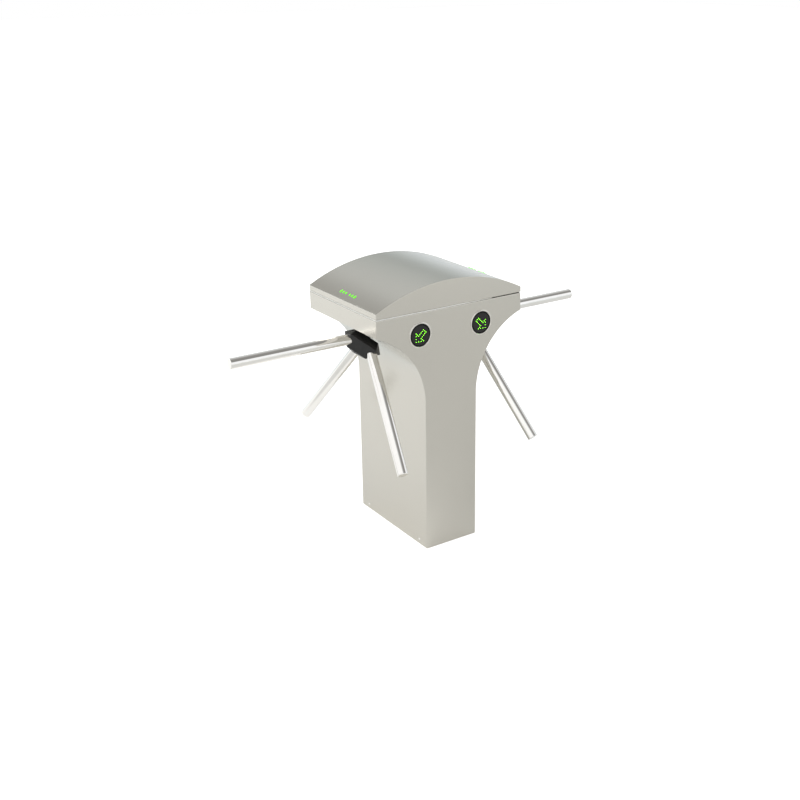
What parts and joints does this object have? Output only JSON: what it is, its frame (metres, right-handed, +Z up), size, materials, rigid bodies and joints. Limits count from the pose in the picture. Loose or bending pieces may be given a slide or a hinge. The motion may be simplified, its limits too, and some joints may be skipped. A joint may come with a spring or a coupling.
{
  "type": "tripod turnstile",
  "caption": "Waist-high twin-lane tripod turnstile: T-shaped steel cabinet with a curved lift-off lid, round direction displays and a three-armed rotor on each flank.",
  "frame": {"origin": "on the floor, at the centre of the base, midway between the two lanes", "axes": "+X across the lanes to the right lane, +Y along the walking direction away from the front displays, +Z up"},
  "size_m": [1.4588, 0.7132, 1],
  "materials": {
    "cabinet_steel": "fine satin brushed stainless sheet",
    "polished_steel": "polished stainless tube",
    "hub_black": "black powder coat, satin",
    "zinc_plate": "zinc plated sheet steel",
    "turned_steel": "turned and ground steel",
    "housing_aluminium": "machined aluminium",
    "motor_black": "black enamelled casing",
    "dark_plastic": "moulded black plastic",
    "smoked_lens": "smoked acrylic",
    "circuit_board": "green solder mask",
    "seal_rubber": "matt black sponge rubber",
    "supply_case": "perforated sheet case",
    "lock_brass": "nickel-free brass"
  },
  "bodies": {
    "cabinet": {"base_frame": "zinc_plate", "front_panel": "cabinet_steel", "rear_panel": "cabinet_steel", "left_side_skin": "cabinet_steel", "right_side_skin": "cabinet_steel", "front_bulkhead": "zinc_plate", "rear_bulkhead": "zinc_plate", "lid_seal": "seal_rubber", "base_screws": "polished_steel", "left_carrier_plate": "zinc_plate", "right_carrier_plate": "zinc_plate", "left_gear_plate": "zinc_plate", "right_gear_plate": "zinc_plate", "plate_pillars": "turned_steel", "bearing_housings": "housing_aluminium", "shaft_bearings": "turned_steel", "drive_motors": "motor_black", "pawl_pivots": "turned_steel", "pawl_springs": "turned_steel", "pawl_solenoids": "motor_black", "encoder_brackets": "zinc_plate", "angle_encoders": "dark_plastic", "display_bezels": "polished_steel", "display_lenses": "smoked_lens", "display_boards": "circuit_board", "display_housings": "dark_plastic", "equipment_plate": "zinc_plate", "power_supply": "supply_case", "controller_board": "circuit_board", "lock_housing": "polished_steel"},
    "lid": {"lid_shell": "cabinet_steel", "lid_catch": "zinc_plate", "card_readers": "dark_plastic"},
    "lock": {"lock_cam": "lock_brass"},
    "left_rotor": {"left_hub": "hub_black", "left_shaft": "turned_steel", "left_arm_1": "polished_steel", "left_arm_2": "polished_steel", "left_arm_3": "polished_steel", "left_arm_caps": "polished_steel", "left_hub_screws": "turned_steel", "left_main_gear": "turned_steel", "left_index_disc": "turned_steel", "left_shaft_nut": "zinc_plate"},
    "left_pinion": {"left_pinion": "turned_steel"},
    "left_pawl": {"left_pawl": "turned_steel"},
    "left_plunger": {"left_plunger": "turned_steel"},
    "right_rotor": {"right_hub": "hub_black", "right_shaft": "turned_steel", "right_arm_1": "polished_steel", "right_arm_2": "polished_steel", "right_arm_3": "polished_steel", "right_arm_caps": "polished_steel", "right_hub_screws": "turned_steel", "right_main_gear": "turned_steel", "right_index_disc": "turned_steel", "right_shaft_nut": "zinc_plate"},
    "right_pinion": {"right_pinion": "turned_steel"},
    "right_pawl": {"right_pawl": "turned_steel"},
    "right_plunger": {"right_plunger": "turned_steel"}
  },
  "joints": [
    {"name": "lid_lift", "type": "slide", "parent": "cabinet", "child": "lid", "axis": [0, 0, 1], "range_m": [0, 0.15]},
    {"name": "lock_turn", "type": "hinge", "parent": "cabinet", "child": "lock", "pos_m": [0, 0.2, 0.85], "axis": [0, 1, 0], "range_deg": [0, 90]},
    {"name": "left_rotor_spin", "type": "hinge", "parent": "cabinet", "child": "left_rotor", "pos_m": [-0.20438, 0, 0.77565], "axis": [-0.6561, 0, -0.7547], "continuous": true},
    {"name": "left_pinion_spin", "type": "hinge", "parent": "cabinet", "child": "left_pinion", "pos_m": [-0.14777, 0, 0.72645], "axis": [-0.6561, 0, -0.7547], "continuous": true},
    {"name": "left_pawl_swing", "type": "hinge", "parent": "cabinet", "child": "left_pawl", "pos_m": [-0.24815, -0.05, 0.8137], "axis": [0.6561, 0, 0.7547], "range_deg": [0, 7.4], "stiffness_Nm_per_rad": 0.3, "springref_deg": -11.46},
    {"name": "left_plunger_slide", "type": "slide", "parent": "cabinet", "child": "left_plunger", "axis": [0, 1, 0], "range_m": [0, 0.0066]},
    {"name": "right_rotor_spin", "type": "hinge", "parent": "cabinet", "child": "right_rotor", "pos_m": [0.20438, 0, 0.77565], "axis": [0.6561, 0, -0.7547], "continuous": true},
    {"name": "right_pinion_spin", "type": "hinge", "parent": "cabinet", "child": "right_pinion", "pos_m": [0.14777, 0, 0.72645], "axis": [0.6561, 0, -0.7547], "continuous": true},
    {"name": "right_pawl_swing", "type": "hinge", "parent": "cabinet", "child": "right_pawl", "pos_m": [0.24815, 0.05, 0.8137], "axis": [-0.6561, 0, 0.7547], "range_deg": [0, 7.4], "stiffness_Nm_per_rad": 0.3, "springref_deg": -11.46},
    {"name": "right_plunger_slide", "type": "slide", "parent": "cabinet", "child": "right_plunger", "axis": [0, -1, 0], "range_m": [0, 0.0066]}
  ],
  "couplings": [
    {"joint": "left_pinion_spin", "follows": "left_rotor_spin", "ratio": -3},
    {"joint": "left_plunger_slide", "follows": "left_pawl_swing", "m_per_rad": 0.049985},
    {"joint": "right_pinion_spin", "follows": "right_rotor_spin", "ratio": -3},
    {"joint": "right_plunger_slide", "follows": "right_pawl_swing", "m_per_rad": 0.049985}
  ]
}
